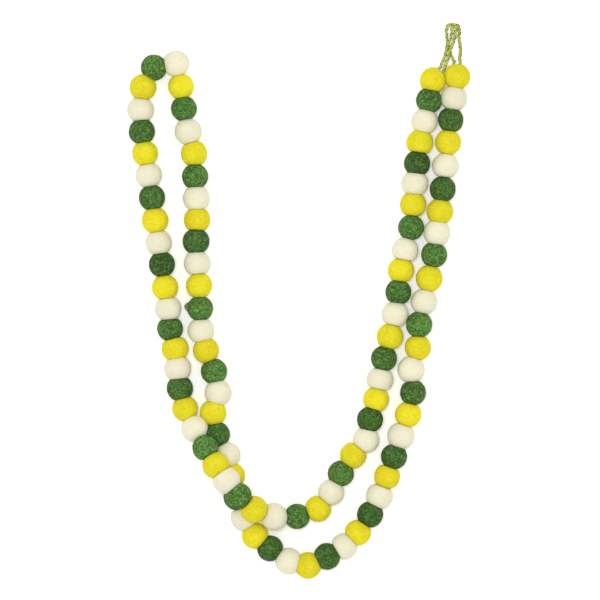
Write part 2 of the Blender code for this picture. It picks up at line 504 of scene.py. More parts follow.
def ball_centres(radii):
    """Each ball's centre: along the stations in plan, and up on the lower strand where the strands cross."""
    column = {name: i for i, name in enumerate(STATION_COLUMNS)}
    numbers = [row[column["ball"]] for row in STATIONS]
    places = [(row[column["x_mm"]] * MM, row[column["y_mm"]] * MM) for row in STATIONS]
    route = smooth_curve(numbers, places)
    plan = [route(number) for number in range(1, BALL_COUNT + 1)]
    heights = [radius - TABLE_PRESS for radius in radii]
    upper = [number - 1 for number in UPPER_STRAND]
    for i in upper:
        for j in (number - 1 for number in LOWER_STRAND):
            apart = math.dist(plan[i], plan[j])
            if apart < CROSSING_REACH:
                heights[i] = max(heights[i], heights[j] + math.sqrt(CROSSING_REACH**2 - apart**2))
    for _ in upper:
        for i in upper:
            heights[i] = max(heights[i], heights[i - 1] - MOST_CLIMB, heights[i + 1] - MOST_CLIMB)
    return [Vector((*spot, height)) for spot, height in zip(plan, heights)]


def loop_way(i):
    """The level way in which a loop leaves end ball i."""
    return Vector((*LOOP_WAYS[i], 0.0)).normalized()


def loop_route(i, apart, free_mm, centres, radii):
    """Out of ball i's seat on the loop's left leg, along its free points, and back on its right leg."""
    way = loop_way(i)
    left = Vector((0, 0, 1)).cross(way)
    seat = centres[i] + way * (radii[i] - LOOP_SEAT_DEPTH + GAP)
    legs = [(seat + left * sign * apart / 2, way * LEG_STRAIGHT) for sign in (1, -1)]
    (out, out_run), (back, back_run) = legs
    free = [Vector(point) * MM for point in free_mm]
    return [out, out + out_run, *free, back + back_run, back]


def route_points(route):
    """Close points on the smooth curve through a route."""
    route = np.array(route)
    runs = np.concatenate([[0.0], np.cumsum(np.linalg.norm(np.diff(route, axis=0), axis=1))])
    at = smooth_curve(runs, route)
    count = round(runs[-1] / ROUTE_STEP) + 1
    return [Vector(at(where)) for where in np.linspace(0.0, runs[-1], count)]


def seam_dishes():
    """How far each seam is dished, per metre, plus where the ball before it swells into the ball after it."""
    chance = random.Random(DISH_SEED)
    dishes = [chance.uniform(-1.0, 1.0) * SEAM_DISH for _ in range(BALL_COUNT)]
    for number, share in DISHED_SEAMS.items():
        dishes[number - 1] = share * SEAM_DISH
    return dishes


def ball_presses(i, centres, radii, dishes):
    """What presses on ball i: (outward normal times its distance from the centre, how far it is dished)."""
    found = []
    for j, other in enumerate(centres):
        line = other - centres[i]
        apart = line.length
        if j == i or apart > radii[i] + radii[j]:
            continue
        flat = (apart**2 + radii[i] ** 2 - radii[j] ** 2) / (2 * apart) + SEAM_OVERLAP / 2
        dish = 0.0
        if abs(i - j) == 1:
            dish = dishes[min(i, j)] * (1 if j > i else -1)
        found.append((line.normalized() * flat, dish))
    if centres[i].z < radii[i]:
        found.append((Vector((0, 0, -centres[i].z)), 0.0))
    if i in LOOP_WAYS:
        found.append((loop_way(i) * (radii[i] - LOOP_DENT), 0.0))
    if len(found) > PRESSES:
        raise RuntimeError(f"ball {i + 1} is pressed in {len(found)} places")
    return found


# Materials


def new_material(name):
    made = bpy.data.materials.new(name)
    made.use_nodes = True
    made.node_tree.nodes.clear()
    return made, Tree(made.node_tree)


def finish_material(tree, shader_sockets):
    shader = tree.add("ShaderNodeBsdfPrincipled", {}, shader_sockets)
    tree.add("ShaderNodeOutputMaterial", {}, {"Surface": shader})


def hair_lines(tree, place, width, thin):
    """Thin curling lines, such as the fibres of felt: 1 on a line and 0 off it."""
    level = tree.noise(place, width, detail=1.0)
    return tree.between(abs(level - 0.5), thin, 0.0)


def swirled(tree, place, shift, width, reach):
    """Places moved sideways by soft noise, which curls a pattern that reads them."""
    moved = place + shift
    push = tree.noise(moved, width, detail=1.0, output=1)
    return moved + (push - 0.5) * reach


def felt_material(name, paint, felt):
    """Felted wool: tufts of darker and lighter wool, with curling fibres matted over them, and painted shade
    where it is pressed into a seam.
    """
    made, tree = new_material(name)
    place = tree.add("ShaderNodeTexCoord", output="Object")
    drift = tree.between(tree.noise(place + (0.4, 0.1, 0.2), 45 * MM, detail=1.0), 0.3, 0.7)
    depth = tree.between(tree.noise(place + (0.2, 0.7, 0.5), 38 * MM, detail=1.0), 0.35, 0.65)
    cloud = tree.between(tree.noise(place, 9 * MM, detail=3.0), 0.38, 0.66)
    matted = swirled(tree, place, (0.9, 0.2, 0.4), 4 * MM, 5 * MM)
    wool = tree.noise(matted, 2.6 * MM, detail=4.0, roughness=0.62)
    dark_tufts = tree.between(wool, 0.51, 0.40)
    light_tufts = tree.between(wool, 0.53, 0.65)
    long_fibres = hair_lines(tree, swirled(tree, place, (0.1, 0.2, 0.3), 5 * MM, 8 * MM), 2.6 * MM, 0.045)
    fine_fibres = hair_lines(tree, swirled(tree, place, (0.7, 0.5, 0.9), 3 * MM, 5 * MM), 1.1 * MM, 0.08)
    speck = tree.noise(place + (0.3, 0.3, 0.6), 0.6 * MM, detail=2.0)
    colour = tree.mix(drift * paint["drift"], paint["main"], paint["tint"])
    colour = tree.mix(depth * paint["depth"], colour, paint["dark"])
    colour = tree.mix(cloud * paint["cloud"], colour, paint["dark"])
    colour = tree.mix(dark_tufts * paint["dark_tufts"], colour, paint["dark"])
    colour = tree.mix(light_tufts * paint["light_tufts"], colour, paint["light"])
    colour = tree.mix(long_fibres * paint["long_fibres"], colour, paint["light"])
    colour = tree.mix(fine_fibres * (speck * paint["fine_fibres"]), colour, paint["light"])
    # Painted shade: felt pressed into a seam between balls is darkened, standing in for the shade in that
    # crease
    pressed = tree.attribute("pressed")
    seam = tree.between(pressed, SEAM_SHADE_FROM, SEAM_SHADE_FULL)
    colour = tree.mix(seam * paint["seam"], colour, paint["deep"])
    batch = tree.attribute("batch")
    shade = batch * paint["batch"] + 1.0
    colour = tree.add("ShaderNodeVectorMath", {"operation": "SCALE"}, {0: colour, "Scale": shade})
    height = wool * 1.1 + long_fibres * 0.22 + fine_fibres * 0.18 + speck * 0.35
    bump = tree.add("ShaderNodeBump", {}, {"Strength": 1.0, "Distance": felt.nap_height, "Height": height})
    sockets = {
        "Base Color": colour,
        "Roughness": speck * 0.12 + 0.84,
        "Normal": bump,
        "Sheen Weight": paint["sheen"],
        "Sheen Roughness": 0.5,
        "Sheen Tint": paint["light"],
        "Specular IOR Level": 0.15,
    }
    finish_material(tree, sockets)
    return made


def plain_wool_material(name, colour):
    """One loose fibre's even colour."""
    made, tree = new_material(name)
    sockets = {"Base Color": colour, "Roughness": 0.9, "Specular IOR Level": 0.25, "Sheen Weight": 0.2}
    finish_material(tree, sockets)
    return made


def yarn_material(name, loops):
    """Twisted yarn: ply lines slant round it, with a painted highlight on a stitch's crown and painted shade,
    dark olive, where it dips and in the grooves of its twist.
    """
    made, tree = new_material(name)
    place = tree.add("ShaderNodeTexCoord", output="Object")
    along = tree.attribute("along")
    side = tree.attribute("side")
    rim = tree.attribute("rim")
    around = tree.add("ShaderNodeMath", {"operation": "ARCTAN2"}, {0: rim, 1: side})
    crown = tree.attribute("crown")
    turn = along * (loops.twist * 2 * math.pi) + around * loops.plies
    ply = tree.add("ShaderNodeMath", {"operation": "SINE"}, {0: turn}) * 0.5 + 0.5
    hairs = tree.noise(place, 0.5 * MM, detail=2.0)
    cloud = tree.between(tree.noise(place, 3 * MM, detail=2.0), 0.35, 0.65)
    # Painted shade and highlight: the yarn is darker where a stitch dips and paler on its crown, as if lit
    # from above
    colour = tree.mix(tree.between(crown, -0.8, 0.3), loops.yarn_shade_colour, loops.main_colour)
    crown_highlight = tree.between(crown + (cloud - 0.5) * 0.7, 0.15, 0.75)
    colour = tree.mix(crown_highlight * 0.95, colour, loops.highlight_and_hair_colour)
    # Painted shade in the grooves of the twist
    colour = tree.mix((1.0 - ply) * 0.5, colour, loops.yarn_shade_colour)
    colour = tree.mix(tree.between(hairs, 0.55, 0.75) * 0.5, colour, loops.highlight_and_hair_colour)
    height = ply * 0.8 + hairs * 0.5
    bump = tree.add("ShaderNodeBump", {}, {"Strength": 1.0, "Distance": loops.ply_depth, "Height": height})
    sockets = {
        "Base Color": colour,
        "Roughness": hairs * 0.1 + 0.8,
        "Normal": bump,
        "Sheen Weight": 0.3,
        "Sheen Roughness": 0.5,
        "Specular IOR Level": 0.3,
    }
    finish_material(tree, sockets)
    return made


# How strongly each kind of wool shows in a felt, beside its colours, and how strongly painted shade darkens
# its seams
MIXTURE_COLUMNS = (
    "drift",
    "depth",
    "cloud",
    "dark_tufts",
    "light_tufts",
    "long_fibres",
    "fine_fibres",
    "seam",
    "sheen",
    "batch",
)
FELT_MIXTURES = {
    "yellow": (0.7, 0.0, 0.25, 0.30, 0.45, 0.35, 0.5, 0.35, 0.03, 0.06),
    "green": (0.8, 0.6, 0.60, 0.95, 0.80, 0.60, 0.9, 1.0, 0.02, 0.36),
    "cream": (0.7, 0.0, 0.18, 0.20, 0.35, 0.30, 0.5, 0.3, 0.05, 0.035),
    "nub": (0.8, 0.0, 0.35, 0.50, 0.55, 0.40, 0.8, 0.5, 0.03, 0.0),
}
# How dark the painted shade in the seams is, as a share of the felt's dark colour
SEAM_SHADE_SHARE = 0.5


def felt_paint(colours, name):
    """The colours and shares of one felt."""
    tones = {tone: tuple(getattr(colours, f"{name}_{tone}")) for tone in ("main", "dark", "light", "tint")}
    # The colour of the painted shade in the seams
    tones["deep"] = tuple(part * SEAM_SHADE_SHARE for part in tones["dark"])
    return {**tones, **dict(zip(MIXTURE_COLUMNS, FELT_MIXTURES[name]))}


# Shapes made by Geometry Nodes


def felt_ball_tree():
    """A lumpy ball, pressed flat or dished wherever something touches it."""
    presses = []
    for k in range(PRESSES):
        presses.append((f"Press {k + 1}", VECTOR, FAR_PRESS))
        presses.append((f"Dish {k + 1}", FLOAT, 0.0))
    named = (
        ("Centre", VECTOR, (0.0, 0.0, 0.0)),
        ("Radius", FLOAT, BALL_R),
        ("Fineness", WHOLE, BALL_FINENESS),
        ("Swell", FLOAT, 0.4 * MM),
        ("Swell Width", FLOAT, 22 * MM),
        ("Lump", FLOAT, 0.35 * MM),
        ("Lump Width", FLOAT, 7 * MM),
        ("Crease", FLOAT, 0.2 * MM),
        ("Crease Width", FLOAT, 3.2 * MM),
        ("Rim", FLOAT, 1.2 * MM),
        ("Batch", FLOAT, 0.0),
        *presses,
        ("Material", MATERIAL, None),
    )
    tree, inputs = new_shape_tree("felt ball", named)
    sockets = {"Radius": inputs["Radius"], "Subdivisions": inputs["Fineness"]}
    ball = tree.add("GeometryNodeMeshIcoSphere", {}, sockets)
    spot = tree.add("GeometryNodeInputPosition")
    place = spot + inputs["Centre"]
    out = tree.add("ShaderNodeVectorMath", {"operation": "NORMALIZE"}, {0: spot})
    swell = (tree.noise(place / inputs["Swell Width"], 1.0, detail=0.0) - 0.5) * inputs["Swell"]
    lump = (tree.noise(place / inputs["Lump Width"] + 3.0, 1.0, detail=1.0) - 0.5) * inputs["Lump"]
    level = tree.noise(place / inputs["Crease Width"] + 7.0, 1.0, detail=0.0)
    crease = tree.between(abs(level - 0.5), 0.0, 0.12) * inputs["Crease"]
    offset = out * ((swell + lump) * 2.0 + crease - inputs["Crease"])
    ball = tree.add("GeometryNodeSetPosition", {}, {"Geometry": ball, "Offset": offset})
    length = {"operation": "LENGTH"}
    ball = tree.keep(ball, "loft", tree.add("ShaderNodeVectorMath", length, {0: spot}))
    for k in range(PRESSES):
        press = inputs[f"Press {k + 1}"]
        flat = tree.add("ShaderNodeVectorMath", length, {0: press})
        way = press / flat
        reach = tree.add("ShaderNodeVectorMath", {"operation": "DOT_PRODUCT"}, {0: spot, 1: way})
        aside = tree.add("ShaderNodeVectorMath", length, {0: spot - way * reach})
        limit = flat + inputs[f"Dish {k + 1}"] * aside * aside * 0.5
        sockets = {0: reach - limit, 1: 0.0, 2: inputs["Rim"]}
        excess = tree.add("ShaderNodeMath", {"operation": "SMOOTH_MAX"}, sockets)
        ball = tree.add("GeometryNodeSetPosition", {}, {"Geometry": ball, "Offset": way * (-excess)})
    sunk = tree.kept("loft") - tree.add("ShaderNodeVectorMath", length, {0: spot})
    ball = tree.keep(ball, "pressed", sunk)
    ball = tree.keep(ball, "batch", inputs["Batch"])
    ball = tree.add("GeometryNodeSetPosition", {}, {"Geometry": ball, "Offset": inputs["Centre"]})
    return end_shape_tree(tree, ball, [(inputs["Material"], None)])


def above_table(tree, place):
    """The place, lifted to just above the table where it is lower."""
    x = tree.add("ShaderNodeSeparateXYZ", {}, {0: place}, output="X")
    height = tree.add("ShaderNodeMath", {"operation": "MAXIMUM"}, {0: x.beside("Z"), 1: TABLE_CLEAR})
    return tree.add("ShaderNodeCombineXYZ", {}, {"X": x, "Y": x.beside("Y"), "Z": height})


def crochet_chain_tree():
    """Teardrop stitches in a row, the tip of each over the end of the one before, bent along a path."""
    named = (
        ("Stitch", FLOAT, 2.7 * MM),
        ("Half Width", FLOAT, 0.9 * MM),
        ("Half Height", FLOAT, 0.65 * MM),
        ("Yarn Radius", FLOAT, 0.6 * MM),
        ("Material", MATERIAL, None),
    )
    tree, inputs = new_shape_tree("crochet chain", named)
    path = tree.add("GeometryNodeMeshToCurve", {}, {"Mesh": inputs["Geometry"]})
    path = tree.add("GeometryNodeSetCurveNormal", {"mode": "Z_UP"}, {"Curve": path})
    length = tree.add("GeometryNodeCurveLength", {}, {"Curve": path})
    count = tree.add("ShaderNodeMath", {"operation": "ROUND"}, {0: length / inputs["Stitch"]})
    step = length / count
    row = {"Count": count, "Offset": tree.add("ShaderNodeCombineXYZ", {}, {"X": step})}
    row = tree.add("GeometryNodeMeshLine", {"mode": "OFFSET"}, row)
    ring = {"Resolution": STITCH_POINTS, "Radius": 1.0}
    ring = tree.add("GeometryNodeCurvePrimitiveCircle", {"mode": "RADIUS"}, ring)
    share = tree.add("GeometryNodeSplineParameter", output="Factor")
    turn = share * (2 * math.pi)
    ahead = tree.add("ShaderNodeMath", {"operation": "COSINE"}, {0: turn})
    aside = tree.add("ShaderNodeMath", {"operation": "SINE"}, {0: turn})
    teardrop = {
        "X": (STITCH_MIDDLE - ahead * STITCH_HALF_LENGTH) * step,
        "Y": aside * (STITCH_SWELL - ahead * (1.0 - STITCH_SWELL)) * inputs["Half Width"],
        "Z": ahead * inputs["Half Height"],
    }
    teardrop = tree.add("ShaderNodeCombineXYZ", {}, teardrop)
    ring = tree.add("GeometryNodeSetPosition", {}, {"Geometry": ring, "Position": teardrop})
    ring = tree.keep(ring, "along", share)
    ring = tree.keep(ring, "crown", ahead)
    profile = {"Resolution": YARN_SIDES, "Radius": 1.0}
    profile = tree.add("GeometryNodeCurvePrimitiveCircle", {"mode": "RADIUS"}, profile)
    profile = tree.keep(profile, "side", ahead)
    profile = tree.keep(profile, "rim", aside)
    sockets = {"Curve": ring, "Profile Curve": profile, "Scale": inputs["Yarn Radius"]}
    tube = tree.add("GeometryNodeCurveToMesh", {}, sockets)
    chance = {"data_type": "FLOAT_VECTOR"}
    least = (1.0 - STITCH_UNEVEN,) * 3
    most = (1.0 + STITCH_UNEVEN,) * 3
    sizes = tree.add("FunctionNodeRandomValue", chance, {"Min": least, "Max": most, "Seed": 21})
    lean = (STITCH_LEAN,) * 3
    turns = tree.add("FunctionNodeRandomValue", chance, {"Min": (-STITCH_LEAN,) * 3, "Max": lean, "Seed": 22})
    sockets = {"Points": row, "Instance": tube, "Rotation": turns, "Scale": sizes}
    stitches = tree.add("GeometryNodeInstanceOnPoints", {}, sockets)
    stitches = tree.add("GeometryNodeRealizeInstances", {}, {"Geometry": stitches})
    spot = tree.add("ShaderNodeSeparateXYZ", {}, {0: tree.add("GeometryNodeInputPosition")}, output="X")
    on_path = tree.add("ShaderNodeClamp", {}, {"Value": spot, "Min": 0.0, "Max": length})
    here = {"Curves": path, "Length": on_path}
    here = tree.add("GeometryNodeSampleCurve", {"mode": "LENGTH"}, here, output="Position")
    tangent = here.beside("Tangent")
    across = here.beside("Normal")
    up = tree.add("ShaderNodeVectorMath", {"operation": "CROSS_PRODUCT"}, {0: across, 1: tangent})
    rise = tree.add("ShaderNodeSeparateXYZ", {}, {0: up}, output="Z")
    up = up * tree.add("ShaderNodeMath", {"operation": "SIGN"}, {0: rise})
    bent = here + tangent * (spot - on_path) + across * spot.beside("Y") + up * spot.beside("Z")
    sockets = {"Geometry": stitches, "Position": above_table(tree, bent)}
    stitches = tree.add("GeometryNodeSetPosition", {}, sockets)
    return end_shape_tree(tree, stitches, [(inputs["Material"], None)])


def loose_fibre_tree():
    """Short bent fibres that lie on felt or yarn, thinly scattered, and none where it is pressed."""
    named = (
        ("Density", FLOAT, 150000.0),
        ("Length", FLOAT, 2.8 * MM),
        ("Thickness", FLOAT, 0.07 * MM),
        ("Most Pressed", FLOAT, 0.25 * MM),
        ("Seed", WHOLE, 1),
        ("Light", MATERIAL, None),
        ("Dark", MATERIAL, None),
    )
    tree, inputs = new_shape_tree("loose fibres", named)
    calm = {"A": tree.kept("pressed"), "B": inputs["Most Pressed"]}
    calm = tree.add("FunctionNodeCompare", {"data_type": "FLOAT", "operation": "LESS_THAN"}, calm)
    spread = {
        "Mesh": inputs["Geometry"],
        "Selection": calm,
        "Density": inputs["Density"],
        "Seed": inputs["Seed"],
    }
    points = tree.add("GeometryNodeDistributePointsOnFaces", {"distribute_method": "RANDOM"}, spread)
    chance = {"data_type": "FLOAT"}
    angle = tree.add("FunctionNodeRandomValue", chance, {"Min": 0.0, "Max": 2 * math.pi, "Seed": 11})
    low, high = FIBRE_TILT
    tilt = tree.add("FunctionNodeRandomValue", chance, {"Min": low, "Max": high, "Seed": 12})
    turned = tree.add("FunctionNodeAxisAngleToRotation", {}, {"Axis": (0.0, 0.0, 1.0), "Angle": angle})
    lifted = tree.add("FunctionNodeAxisAngleToRotation", {}, {"Axis": (0.0, 1.0, 0.0), "Angle": -tilt})
    local = {"rotation_space": "LOCAL"}
    rotation = {"Rotation": points.beside("Rotation"), "Rotate By": turned}
    rotation = tree.add("FunctionNodeRotateRotation", local, rotation)
    rotation = tree.add("FunctionNodeRotateRotation", local, {"Rotation": rotation, "Rotate By": lifted})
    low, high = FIBRE_SCALE
    scale = tree.add("FunctionNodeRandomValue", chance, {"Min": low, "Max": high, "Seed": 13})
    length = inputs["Length"]
    profile = {"Resolution": FIBRE_SIDES, "Radius": 1.0}
    profile = tree.add("GeometryNodeCurvePrimitiveCircle", {"mode": "RADIUS"}, profile)
    factor = tree.add("GeometryNodeSplineParameter", output="Factor")
    shapes = []
    for aside, rise in FIBRE_BENDS:
        ends = [(0.0, 0.0, FIBRE_ROOT), (0.5, aside, rise), (1.0, 0.0, 0.0)]
        start, middle, end = [tree.add("ShaderNodeCombineXYZ", {}, dict(enumerate(spot))) for spot in ends]
        bow = {"Resolution": FIBRE_POINTS, "Start": start * length, "Middle": middle * length}
        bow["End"] = end * length
        fibre = tree.add("GeometryNodeCurveQuadraticBezier", {}, bow)
        thick = inputs["Thickness"] * 0.5 * (1.0 - factor * 0.7)
        sockets = {"Curve": fibre, "Profile Curve": profile, "Scale": thick, "Fill Caps": True}
        shapes.append(tree.add("GeometryNodeCurveToMesh", {}, sockets))
    shapes = tree.add("GeometryNodeGeometryToInstance", {}, {"Geometry": shapes})
    pick = {"Min": 0, "Max": len(FIBRE_BENDS) - 1, "Seed": 14}
    pick = tree.add("FunctionNodeRandomValue", {"data_type": "INT"}, pick)
    sockets = {
        "Points": points,
        "Instance": shapes,
        "Pick Instance": True,
        "Instance Index": pick,
        "Rotation": rotation,
        "Scale": scale,
    }
    fibres = tree.add("GeometryNodeInstanceOnPoints", {}, sockets)
    shade = tree.add("FunctionNodeRandomValue", chance, {"Min": 0.0, "Max": 1.0, "Seed": 15})
    fibres = tree.keep(fibres, "shade", shade, domain="INSTANCE")
    fibres = tree.add("GeometryNodeRealizeInstances", {}, {"Geometry": fibres})
    above = above_table(tree, tree.add("GeometryNodeInputPosition"))
    fibres = tree.add("GeometryNodeSetPosition", {}, {"Geometry": fibres, "Position": above})
    dark = {"A": tree.kept("shade"), "B": DARK_SHARE}
    dark = tree.add("FunctionNodeCompare", {"data_type": "FLOAT", "operation": "LESS_THAN"}, dark)
    return end_shape_tree(tree, fibres, [(inputs["Light"], None), (inputs["Dark"], dark)])


def joined_mesh(name, meshes):
    """One mesh of several, with how far each point is pressed."""
    points, faces, pressed = [], [], []
    for mesh in meshes:
        shift = len(points)
        points.extend(vertex.co.copy() for vertex in mesh.vertices)
        faces.extend([shift + corner for corner in face.vertices] for face in mesh.polygons)
        values = mesh.attributes.get("pressed")
        pressed.extend([item.value for item in values.data] if values else [0.0] * len(mesh.vertices))
    joined = bpy.data.meshes.new(name)
    joined.from_pydata(points, [], faces)
    joined.attributes.new("pressed", "FLOAT", "POINT").data.foreach_set("value", pressed)
    return joined


# Settings


def colour_property(label, description, default):
    return bpy.props.FloatVectorProperty(
        name=label, description=description, default=default, size=3, min=0.0, max=1.0, subtype="COLOR"
    )


def length_property(label, description, default):
    return bpy.props.FloatProperty(
        name=label, description=description, default=default, min=0.0, unit="LENGTH", precision=5
    )


class GarlandFeltSettings(bpy.types.PropertyGroup):
    """The balls' felt."""

    yellow_main: colour_property("Yellow", "Main colour of the yellow felt", (0.715, 0.645, 0.014))
    yellow_dark: colour_property("Yellow, dark", "Darker wool in the yellow felt", (0.50, 0.41, 0.006))
    yellow_light: colour_property("Yellow, light", "Lighter wool in the yellow felt", (0.80, 0.76, 0.045))
    yellow_tint: colour_property("Yellow, tint", "Warmer wool in the yellow felt", (0.73, 0.57, 0.014))
    green_main: colour_property("Green", "Main colour of the green felt", (0.057, 0.143, 0.017))
    green_dark: colour_property("Green, dark", "Darker wool in the green felt", (0.009, 0.040, 0.005))
    green_light: colour_property("Green, light", "Lighter wool in the green felt", (0.155, 0.285, 0.070))
    green_tint: colour_property("Green, tint", "Cooler wool in the green felt", (0.022, 0.130, 0.024))
    cream_main: colour_property("Cream", "Main colour of the cream felt", (0.755, 0.710, 0.525))
    cream_dark: colour_property("Cream, dark", "Darker wool in the cream felt", (0.62, 0.56, 0.40))
    cream_light: colour_property("Cream, light", "Lighter wool in the cream felt", (0.82, 0.79, 0.63))
    cream_tint: colour_property("Cream, tint", "Greener wool in the cream felt", (0.72, 0.715, 0.51))
    nub_main: colour_property("Nub", "Main colour of the nub of loose felt", (0.145, 0.185, 0.100))
    nub_dark: colour_property("Nub, dark", "Darker wool in the nub", (0.060, 0.070, 0.038))
    nub_light: colour_property("Nub, light", "Lighter wool in the nub", (0.30, 0.36, 0.23))
    nub_tint: colour_property("Nub, tint", "Browner wool in the nub", (0.130, 0.130, 0.080))
    nap_height: length_property("Nap", "How far the fibres in the felt stand up", 0.16 * MM)
    swell: length_property("Swell", "How far a ball is from round", 0.45 * MM)
    lump: length_property("Lumps", "How high the felt's lumps are", 0.35 * MM)
    crease: length_property("Creases", "How deep the felt's fine creases are", 0.09 * MM)
    rim: length_property("Rim", "How soft the rim of a pressed seat is", 0.7 * MM)


class GarlandFibreSettings(bpy.types.PropertyGroup):
    """The loose wool on the balls and the loops."""

    per_ball: bpy.props.IntProperty(
        name="Fibres", description="Loose fibres on each ball", default=275, min=0, max=400
    )
    length: length_property("Length", "Length of a loose fibre", 2.8 * MM)
    thickness: length_property("Thickness", "Thickness of a loose fibre", 0.07 * MM)


class GarlandLoopSettings(bpy.types.PropertyGroup):
    """The hanging loops."""

    main_colour: colour_property("Yarn", "Main colour of the yarn", (0.20, 0.24, 0.006))
    # Painted shade, for where a stitch dips and for the grooves of the twist
    yarn_shade_colour: colour_property("Yarn, dark", "Colour of the yarn in its grooves", (0.060, 0.068, 0.001))
    # Painted highlight on the stitches' crowns; it also colours the pale hairs and loose fibres on the yarn
    highlight_and_hair_colour: colour_property("Yarn, light", "Colour of the yarn's crowns", (0.66, 0.73, 0.11))
    stitch: length_property("Stitch", "Length of one stitch of the chain", 2.7 * MM)
    half_width: length_property("Half width", "How far a stitch's yarn swings aside", 1.05 * MM)
    half_height: length_property("Half height", "How far a stitch's yarn rises and dips", 0.65 * MM)
    yarn_radius: length_property("Yarn", "Radius of the yarn", 0.70 * MM)
    plies: bpy.props.IntProperty(
        name="Plies", description="Strands twisted into the yarn", default=4, min=1, max=12
    )
    twist: bpy.props.IntProperty(
        name="Twist", description="Grooves of the yarn's twist along one stitch", default=10, min=1, max=40
    )
    ply_depth: length_property("Ply depth", "Depth of the grooves of the yarn's twist", 0.12 * MM)
    fibres: bpy.props.IntProperty(
        name="Fibres", description="Loose fibres on each loop", default=260, min=0, max=1000
    )


class GarlandStageSettings(bpy.types.PropertyGroup):
    """The plain studio."""

    floor_size: length_property("Floor", "Width of the floor", 6.0)
    floor_colour: colour_property("Floor colour", "Colour of the floor", (0.94, 0.94, 0.94))
    floor_glow: bpy.props.FloatProperty(
        name="Floor glow", description="How strongly the floor is lit from below", default=0.22, min=0.0
    )
    sky_light: bpy.props.FloatProperty(
        name="Sky light", description="Strength of the light from all sides", default=0.86, min=0.0
    )
    key_power: bpy.props.FloatProperty(
        name="Key light", description="Power of the large lamp", default=26.5, min=0.0, unit="POWER"
    )
    key_place: bpy.props.FloatVectorProperty(
        name="Key light's place",
        description="Where the large lamp stands",
        default=(-0.14, 0.14, 2.6),
        subtype="TRANSLATION",
        unit="LENGTH",
    )
    key_size: length_property("Key light's size", "Width of the large lamp", 0.7)


class GarlandSettings(bpy.types.PropertyGroup):
    """All settings of the garland."""

    felt: bpy.props.PointerProperty(type=GarlandFeltSettings)
    fibres: bpy.props.PointerProperty(type=GarlandFibreSettings)
    loops: bpy.props.PointerProperty(type=GarlandLoopSettings)
    stage: bpy.props.PointerProperty(type=GarlandStageSettings)


# Operators


class GARLAND_OT_stage(bpy.types.Operator):
    """Sets up the floor, the light and the camera above the garland"""

    bl_idname = "garland.stage"
    bl_label = "Plain Studio"

    def execute(self, context):
        settings = context.scene.garland.stage
        self.make_floor(context, settings)
        self.make_light(context, settings)
        self.make_camera(context)
        context.scene.view_settings.view_transform = "Standard"
        return {"FINISHED"}

    def make_floor(self, context, settings):
        shape = bmesh.new()
        bmesh.ops.create_grid(shape, x_segments=1, y_segments=1, size=settings.floor_size / 2)
        mesh = bpy.data.meshes.new("studio_floor")
        shape.to_mesh(mesh)
        shape.free()
        material, tree = new_material("pale_floor")
        sockets = {
            "Base Color": settings.floor_colour,
            "Roughness": 0.9,
            "Specular IOR Level": 0.1,
            "Emission Color": settings.floor_colour,
            "Emission Strength": settings.floor_glow,
        }
        finish_material(tree, sockets)
        mesh.materials.append(material)
        floor = bpy.data.objects.new("studio_floor", mesh)
        context.scene.collection.objects.link(floor)

    def make_light(self, context, settings):
        world = bpy.data.worlds.new("soft_studio")
        world.use_nodes = True
        sky = world.node_tree.nodes["Background"]
        sky.inputs["Color"].default_value = (1.0, 1.0, 1.0, 1.0)
        sky.inputs["Strength"].default_value = settings.sky_light
        context.scene.world = world
        lamp = bpy.data.lights.new("key_light", "AREA")
        lamp.shape = "DISK"
        lamp.size = settings.key_size
        lamp.energy = settings.key_power
        key = bpy.data.objects.new("key_light", lamp)
        context.scene.collection.objects.link(key)
        key.location = settings.key_place
        key.rotation_euler = (-Vector(settings.key_place)).to_track_quat("-Z", "Y").to_euler()

    def make_camera(self, context):
        eye = bpy.data.cameras.new("camera_above")
        eye.sensor_width = SENSOR
        eye.lens = SENSOR * CAMERA_HEIGHT / VIEW_WIDTH
        camera = bpy.data.objects.new("camera_above", eye)
        context.scene.collection.objects.link(camera)
        camera.location = (*VIEW_MIDDLE, CAMERA_HEIGHT + BALL_R)
        context.scene.camera = camera


class GARLAND_OT_hanging_loops(bpy.types.Operator):
    """Makes the two crocheted loops that the garland hangs by"""

    bl_idname = "garland.hanging_loops"
    bl_label = "Hanging Loops"

    def execute(self, context):
        settings = context.scene.garland.loops
        yarn = yarn_material("chartreuse_yarn", settings)
        radii = ball_radii()
        centres = ball_centres(radii)
        group = crochet_chain_tree()
        rows = (
            ("hanging_loop_left", "loop_cord_left", 0, LEFT_LEGS_APART, LEFT_LOOP_ROUTE),
            ("hanging_loop_right", "loop_cord_right", BALL_COUNT - 1, RIGHT_LEGS_APART, RIGHT_LOOP_ROUTE),
        )
        for name, node, i, apart, free in rows:
            route = loop_route(i, apart, free, centres, radii)
            path = route_points(route)
            into = loop_way(i) * INTO_BALL
            path = [path[0] - into, *path, path[-1] - into]
            self.make_loop(name, node, path, route[0], group, settings, yarn)
        return {"FINISHED"}

    def make_loop(self, name, node, path, seat, group, settings, yarn):
        line = bpy.data.meshes.new(name)
        line.from_pydata(path, [(k, k + 1) for k in range(len(path) - 1)], [])
        values = {
            "Stitch": settings.stitch,
            "Half Width": settings.half_width,
            "Half Height": settings.half_height,
            "Yarn Radius": settings.yarn_radius,
            "Material": yarn,
        }
        (mesh,) = plain_meshes([maker(name, group, values, line)])
        made = piece(name, mesh, [node])
        length = sum((after - before).length for before, after in zip(path, path[1:]))


